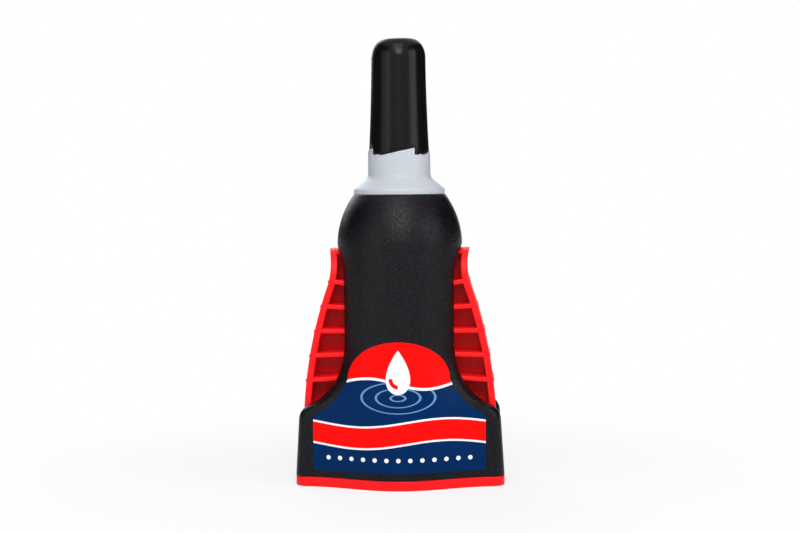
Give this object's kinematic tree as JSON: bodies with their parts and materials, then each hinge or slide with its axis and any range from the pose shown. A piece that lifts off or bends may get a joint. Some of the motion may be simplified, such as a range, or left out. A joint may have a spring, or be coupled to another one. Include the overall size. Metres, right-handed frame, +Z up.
{
  "type": "glue bottle",
  "caption": "Side-squeeze glue bottle on a flared foot, with hinged ladder grips in side windows, a clear nozzle collar and a twist cap over the spout.",
  "frame": {"origin": "centre of the base plate's underside", "axes": "+Z up along the bottle, -Y towards the front label, +X to the right seen from the front"},
  "size_m": [0.0446, 0.0306, 0.0953],
  "materials": {
    "shell_black": "fine sparked texture",
    "base_red": "moulded gloss",
    "grip_red": "moulded satin",
    "bottle_white": "soft translucent",
    "glue_clear": "clear liquid",
    "seal_foam": "closed foam",
    "nozzle_frosted": "frosted translucent",
    "cap_black": "smooth satin",
    "plug_white": "plain",
    "pin_steel": "drawn wire",
    "label_film": "printed film"
  },
  "bodies": {
    "bottle": {"outer_shell": "shell_black", "base_plate": "base_red", "inner_bottle": "bottle_white", "glue_fill": "glue_clear", "neck_seal": "seal_foam", "nozzle": "nozzle_frosted", "front_label": "label_film", "back_label": "label_film"},
    "left_grip": {"left_grip": "grip_red"},
    "right_grip": {"right_grip": "grip_red"},
    "cap_core": {"cap_plug": "plug_white", "anti_clog_pin": "pin_steel"},
    "cap": {"cap_shell": "cap_black"}
  },
  "joints": [
    {"name": "left_squeeze", "type": "hinge", "parent": "bottle", "child": "left_grip", "pos_m": [-0.018, 0, 0.0065], "axis": [0, 1, 0], "range_deg": [0, 6], "stiffness_Nm_per_rad": 2, "deforming": ["inner_bottle", "glue_fill"]},
    {"name": "right_squeeze", "type": "hinge", "parent": "bottle", "child": "right_grip", "pos_m": [0.018, 0, 0.0065], "axis": [0, -1, 0], "range_deg": [0, 6], "stiffness_Nm_per_rad": 2, "deforming": ["inner_bottle", "glue_fill"]},
    {"name": "cap_lift", "type": "slide", "parent": "bottle", "child": "cap_core", "axis": [0, 0, 1], "range_m": [0, 0.022]},
    {"name": "cap_twist", "type": "hinge", "parent": "cap_core", "child": "cap", "pos_m": [0, 0, 0.08], "axis": [0, 0, 1], "range_deg": [0, 900]}
  ],
  "couplings": [
    {"joint": "cap_twist", "follows": "cap_lift", "rad_per_m": 713.99}
  ]
}
